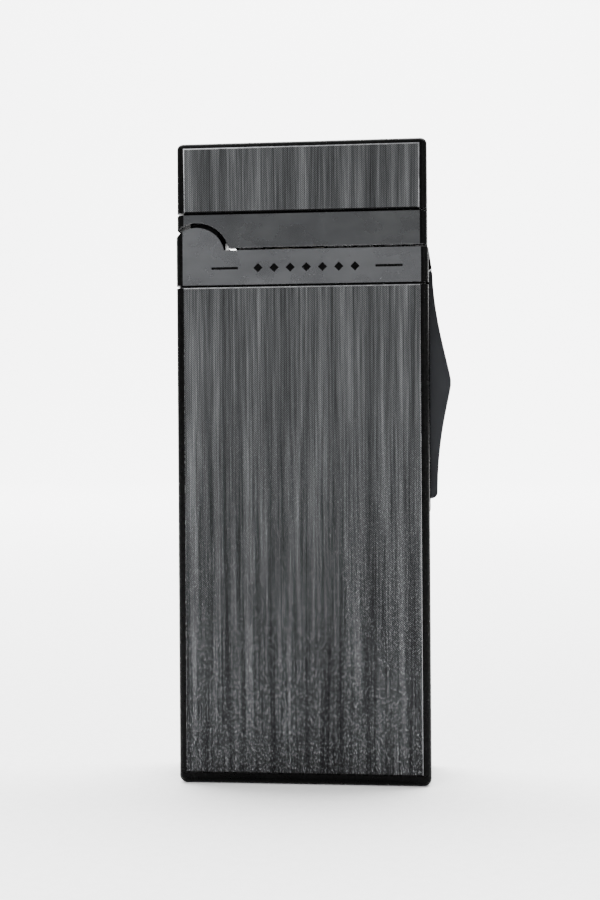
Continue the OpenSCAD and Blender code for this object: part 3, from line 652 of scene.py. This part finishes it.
for x, low, radius in ((filler_x, -2, FILLER_HOLE_R), (burner_x, -2, ADJUSTER_HOLE_R),
                       (burner_x, BUSH_Z, BUSH_HOLE_R)):
    hole = bar_piece("hole", [x, 0, low + HOLE_LENGTH / 2], radius, HOLE_LENGTH, "Z", 64)
    combine(base, hole, "DIFFERENCE")
soften(base, 0.05)
fit(base, "case", "base_cap", "black_trim", shade_black)

# bezel and lever: clean copies of their solids with softened edges
bezel = copy_of("lever_bezel", "lever_bezel_trim")
soften(bezel, 0.06)
fit(bezel, "case", "lever_bezel", "black_trim", shade_black)
lever = copy_of("side_lever", "press_lever")
soften(lever, 0.3, 5, 50)
fit(lever, "side_lever", "side_lever", "lever_nickel", lever_metal)


# ---- finishes of the carried-over nodes ----

FINISH = {
    zinc_steel: ["chassis", "piezo_cradle", "carriage"],
    deck_nickel: ["burner_deck"],
    stainless: ["deck_screws", "spark_electrode", "hinge_pin", "lever_pin", "gas_lever_pin",
                "crank_pin", "piezo_hammer", "gas_lever"],
    flame_steel: ["burner_tube", "flame_nozzle", "burner_gauze"],
    brass: ["filler_body", "filler_stem", "adjuster_bush", "adjuster_screw", "outlet_body", "outlet_stem",
            "jet_orifice"],
    wire_steel: ["filler_spring", "outlet_spring", "piezo_spring"],
    acetal: ["fuel_tank", "tank_closure"],
    nylon: ["piezo_case", "piezo_plunger"],
    nitrile: ["filler_gasket", "filler_seal", "outlet_gasket"],
    alumina: ["spark_insulator", "piezo_crystal", "metering_disc"],
    silicone: ["ignition_wire"],
    vinyl: ["gas_hose", "dip_tube"],
}
for material, names in FINISH.items():
    for name in names:
        nodes[name].data.materials.clear()
        nodes[name].data.materials.append(material)


# ---- springs: each gets a mesh of its own ----

for name, joint, travel in (("piezo_spring", "spark_plunger_slide", 3.2),
                            ("outlet_spring", "outlet_stem_slide", 1.016),
                            ("filler_spring", "filler_stem_slide", 0.8)):
    low, high = node_box(name)
    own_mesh(nodes[name])


# ---- camera, floor and light ----

bpy.ops.object.select_all(action="DESELECT")
AZIMUTH, ELEVATION, ROLL = math.radians(5.63), math.radians(0.08), math.radians(-0.37)
DISTANCE, TARGET = 150 * MM, Vector((-0.73 * MM, 0, 36.16 * MM))
LENS, SENSOR = 53.696, 36
camera_data = bpy.data.cameras.new("camera")
camera_data.sensor_width = SENSOR
camera_data.lens = LENS
camera_data.clip_start, camera_data.clip_end = 0.01, 20
camera = bpy.data.objects.new("camera", camera_data)
bpy.context.scene.collection.objects.link(camera)
away = Vector((math.sin(AZIMUTH) * math.cos(ELEVATION),
               -math.cos(AZIMUTH) * math.cos(ELEVATION), math.sin(ELEVATION)))
right = (-away).cross(Vector((0, 0, 1))).normalized()
up = right.cross(-away)
level = math.cos(ROLL) * right + math.sin(ROLL) * up
raised = -math.sin(ROLL) * right + math.cos(ROLL) * up
turned = Matrix((level, raised, away)).transposed()
camera.matrix_world = Matrix.Translation(TARGET + away * DISTANCE) @ turned.to_4x4()
bpy.context.scene.camera = camera

# a pale sweep: floor, curve and back wall in one sheet
FLOOR_W, FLOOR_FRONT, FLOOR_BACK, CURVE_R, WALL_H = 6.0, -3.0, 1.2, 0.6, 3.0
profile = [(FLOOR_FRONT, 0.0)]
profile += [(FLOOR_BACK + CURVE_R * math.sin(a), CURVE_R * (1 - math.cos(a)))
            for a in (i * math.pi / 2 / 16 for i in range(17))]
profile.append((FLOOR_BACK + CURVE_R, WALL_H))
mesh = bpy.data.meshes.new("sweep")
points = [(x, y, z - 0.00002) for y, z in profile for x in (-FLOOR_W / 2, FLOOR_W / 2)]
mesh.from_pydata(points, [], [(2 * i, 2 * i + 1, 2 * i + 3, 2 * i + 2) for i in range(len(profile) - 1)])
sweep = bpy.data.objects.new("sweep", mesh)
bpy.context.scene.collection.objects.link(sweep)
activate(sweep)
bpy.ops.object.shade_smooth_by_angle(angle=math.radians(40))
paper, paper_tree, paper_shader = new_material("white_paper_sweep", Roughness=0.9)
paper_place = object_place(paper_tree)
fibre = add(paper_tree, "ShaderNodeTexNoise", {"Vector": (paper_place, "Vector")},
            in_Scale=900, in_Detail=3)
paper_colour = ramp(paper_tree, fibre, "Fac", [(0.3, "#f1f1f1"), (0.7, "#f6f6f6")])
paper_tree.links.new(paper_colour.outputs["Color"], paper_shader.inputs["Base Color"])
mesh.materials.append(paper)

world = bpy.data.worlds.new("world")
bpy.context.scene.world = world
world.use_nodes = True
world.node_tree.nodes["Background"].inputs["Color"].default_value = (1, 1, 1, 1)
world.node_tree.nodes["Background"].inputs["Strength"].default_value = 1.15


def area_light(name, place, target, size, power):
    """A soft box that faces a point."""
    data = bpy.data.lights.new(name, "AREA")
    data.shape = "RECTANGLE"
    data.size, data.size_y = size
    data.energy = power
    light = bpy.data.objects.new(name, data)
    bpy.context.scene.collection.objects.link(light)
    light.location = place
    light.rotation_mode = "QUATERNION"
    light.rotation_quaternion = (Vector(target) - Vector(place)).to_track_quat("-Z", "Y")
    return light


area_light("key", (-0.5, -0.9, 0.8), (0, 0, 0.035), (0.7, 0.9), 9)
area_light("fill", (0.8, -0.6, 0.3), (0, 0, 0.035), (0.5, 0.9), 3)
area_light("back_wash", (0, 0.5, 1.4), (0, 1.5, 0.3), (2.5, 1.0), 200)
